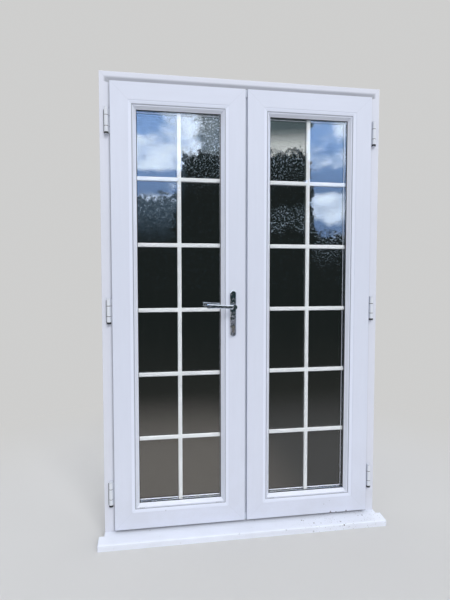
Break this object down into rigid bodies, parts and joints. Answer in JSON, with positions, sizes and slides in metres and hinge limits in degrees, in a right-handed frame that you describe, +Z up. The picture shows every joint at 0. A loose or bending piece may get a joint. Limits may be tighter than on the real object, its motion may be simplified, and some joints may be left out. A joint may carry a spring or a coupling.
{
  "type": "french doors",
  "caption": "Outward opening pair of white plastic french doors with georgian bars in the glass, welded frame, projecting sill and lever handle.",
  "frame": {"origin": "middle of the sill's underside, in the plane of the frame's outer face", "axes": "+X to the right seen from outside, +Y into the building, +Z up"},
  "size_m": [1.316, 0.1945, 2.04],
  "materials": {
    "upvc_white": "smooth extruded white plastic, slight gloss",
    "cap_white": "moulded white plastic",
    "gasket_black": "matt black rubber",
    "seal_grey": "soft grey seal",
    "glass_clear": "clear float glass",
    "spacer_aluminium": "bright anodised",
    "bar_white": "white satin paint",
    "hinge_white": "white powder coat",
    "chrome": "polished chrome",
    "cylinder_nickel": "satin nickel plate",
    "lock_steel": "bright zinc plated steel",
    "galvanised_steel": "galvanised",
    "threshold_aluminium": "mill aluminium",
    "packer_plastic": "moulded plastic"
  },
  "bodies": {
    "frame": {"outer_frame": "upvc_white", "frame_reinforcement": "galvanised_steel", "threshold": "threshold_aluminium", "sill": "upvc_white", "sill_end_caps": "cap_white", "frame_seal": "gasket_black", "head_keep": "lock_steel", "threshold_keep": "lock_steel", "left_hinge_frame_leaves": "hinge_white", "right_hinge_frame_leaves": "hinge_white", "left_hinge_pins": "hinge_white", "right_hinge_pins": "hinge_white"},
    "active_leaf": {"active_sash": "upvc_white", "active_reinforcement": "galvanised_steel", "active_glazing_beads": "upvc_white", "active_outer_pane": "glass_clear", "active_inner_pane": "glass_clear", "active_spacer": "spacer_aluminium", "active_georgian_bars": "bar_white", "active_gaskets": "gasket_black", "active_glazing_packers": "packer_plastic", "active_hinge_sash_leaves": "hinge_white", "lock_faceplate": "lock_steel", "lock_cases": "lock_steel", "outside_handle_plate": "chrome", "inside_handle_plate": "chrome", "handle_screws": "chrome", "cylinder_body": "cylinder_nickel"},
    "passive_leaf": {"passive_sash": "upvc_white", "passive_reinforcement": "galvanised_steel", "passive_glazing_beads": "upvc_white", "passive_outer_pane": "glass_clear", "passive_inner_pane": "glass_clear", "passive_spacer": "spacer_aluminium", "passive_georgian_bars": "bar_white", "passive_gaskets": "gasket_black", "passive_glazing_packers": "packer_plastic", "passive_hinge_sash_leaves": "hinge_white", "mullion": "upvc_white", "mullion_end_caps": "cap_white", "mullion_seal": "seal_grey", "bolt_keeps": "lock_steel"},
    "lever_set": {"lever_outside": "chrome", "lever_inside": "chrome", "spindle": "lock_steel", "lock_follower": "lock_steel"},
    "drive_rail": {"drive_rail": "lock_steel"},
    "throw_bolts": {"throw_bolts": "lock_steel"},
    "latch": {"latch_bolt": "lock_steel"},
    "deadbolt": {"deadbolt": "lock_steel"},
    "cylinder_core": {"cylinder_plugs": "cylinder_nickel"},
    "shootbolt_top": {"shootbolt_top": "lock_steel"},
    "shootbolt_bottom": {"shootbolt_bottom": "lock_steel"}
  },
  "joints": [
    {"name": "active_leaf_swing", "type": "hinge", "parent": "frame", "child": "active_leaf", "pos_m": [-0.6055, -0.0095, 1.02], "axis": [0, 0, -1], "range_deg": [0, 100]},
    {"name": "passive_leaf_swing", "type": "hinge", "parent": "frame", "child": "passive_leaf", "pos_m": [0.6055, -0.0095, 1.02], "axis": [0, 0, 1], "range_deg": [0, 100]},
    {"name": "lever_turn", "type": "hinge", "parent": "active_leaf", "child": "lever_set", "pos_m": [-0.061, 0, 1.035], "axis": [0, 1, 0], "range_deg": [-35, 40], "stiffness_Nm_per_rad": 5, "springref_deg": 4.01},
    {"name": "rail_slide", "type": "slide", "parent": "active_leaf", "child": "drive_rail", "axis": [0, 0, 1], "range_m": [-0.01225, 0.014]},
    {"name": "throw_bolts_slide", "type": "slide", "parent": "active_leaf", "child": "throw_bolts", "axis": [1, 0, 0], "range_m": [-0.01575, 0.018]},
    {"name": "latch_push", "type": "slide", "parent": "active_leaf", "child": "latch", "axis": [-1, 0, 0], "range_m": [0, 0.004], "stiffness_N_per_m": 300, "springref_m": -0.002},
    {"name": "key_turn", "type": "hinge", "parent": "active_leaf", "child": "cylinder_core", "pos_m": [-0.061, 0, 0.943], "axis": [0, 1, 0], "range_deg": [0, 360.1]},
    {"name": "deadbolt_slide", "type": "slide", "parent": "active_leaf", "child": "deadbolt", "axis": [1, 0, 0], "range_m": [0, 0.018]},
    {"name": "shootbolt_top_slide", "type": "slide", "parent": "passive_leaf", "child": "shootbolt_top", "axis": [0, 0, 1], "range_m": [0, 0.02]},
    {"name": "shootbolt_bottom_slide", "type": "slide", "parent": "passive_leaf", "child": "shootbolt_bottom", "axis": [0, 0, -1], "range_m": [0, 0.02]}
  ],
  "couplings": [
    {"joint": "rail_slide", "follows": "lever_turn", "m_per_rad": 0.020054},
    {"joint": "throw_bolts_slide", "follows": "lever_turn", "m_per_rad": 0.025783},
    {"joint": "key_turn", "follows": "deadbolt_slide", "rad_per_m": 349.07}
  ]
}
